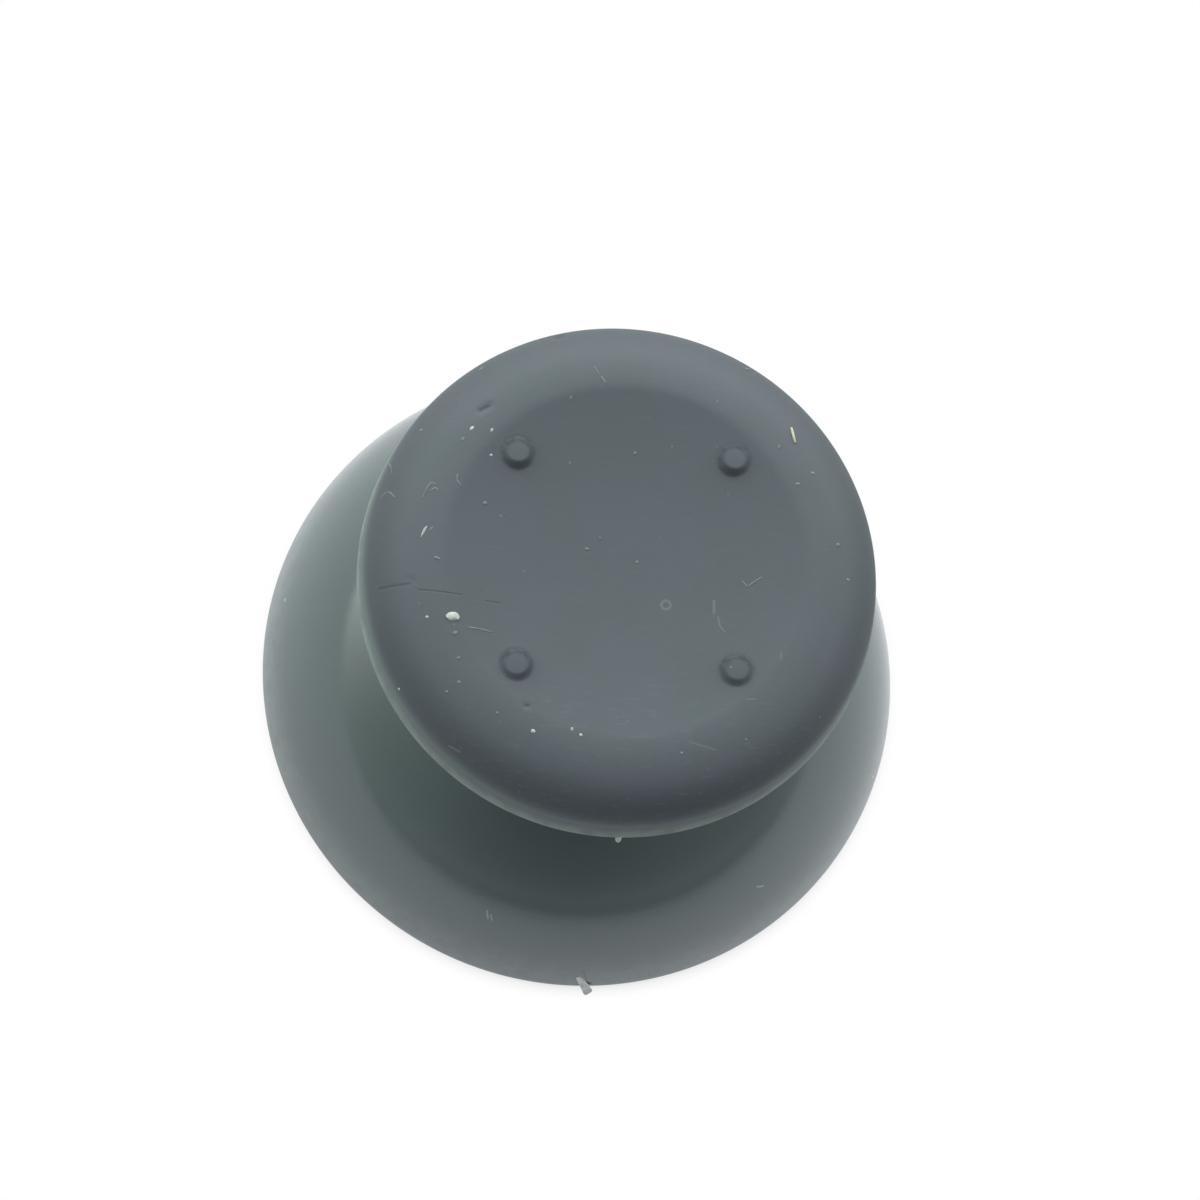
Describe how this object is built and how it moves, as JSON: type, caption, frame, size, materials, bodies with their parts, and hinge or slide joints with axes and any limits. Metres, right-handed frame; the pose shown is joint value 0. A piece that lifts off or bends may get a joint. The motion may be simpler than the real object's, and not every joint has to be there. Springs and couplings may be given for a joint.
{
  "type": "thumbstick cap",
  "caption": "Cap for a controller's analogue stick: a hollow domed skirt with a keyed socket inside, a waisted neck, and a soft dished grip pad with round bumps.",
  "frame": {"origin": "on the cap's axis, in the plane of the skirt's rim", "axes": "+Z along the axis, from the rim up to the pad; X and Y run midway between the bumps, and the socket's flats face +Y and -Y"},
  "size_m": [0.024, 0.024, 0.0158],
  "materials": {
    "hard_plastic": "glossy moulded plastic, greenish grey",
    "soft_rubber": "matte soft-touch rubber, bluish grey, with lint and dust on it"
  },
  "bodies": {
    "root": {"stick_body": "hard_plastic", "grip_pad": "soft_rubber"}
  },
  "joints": []
}
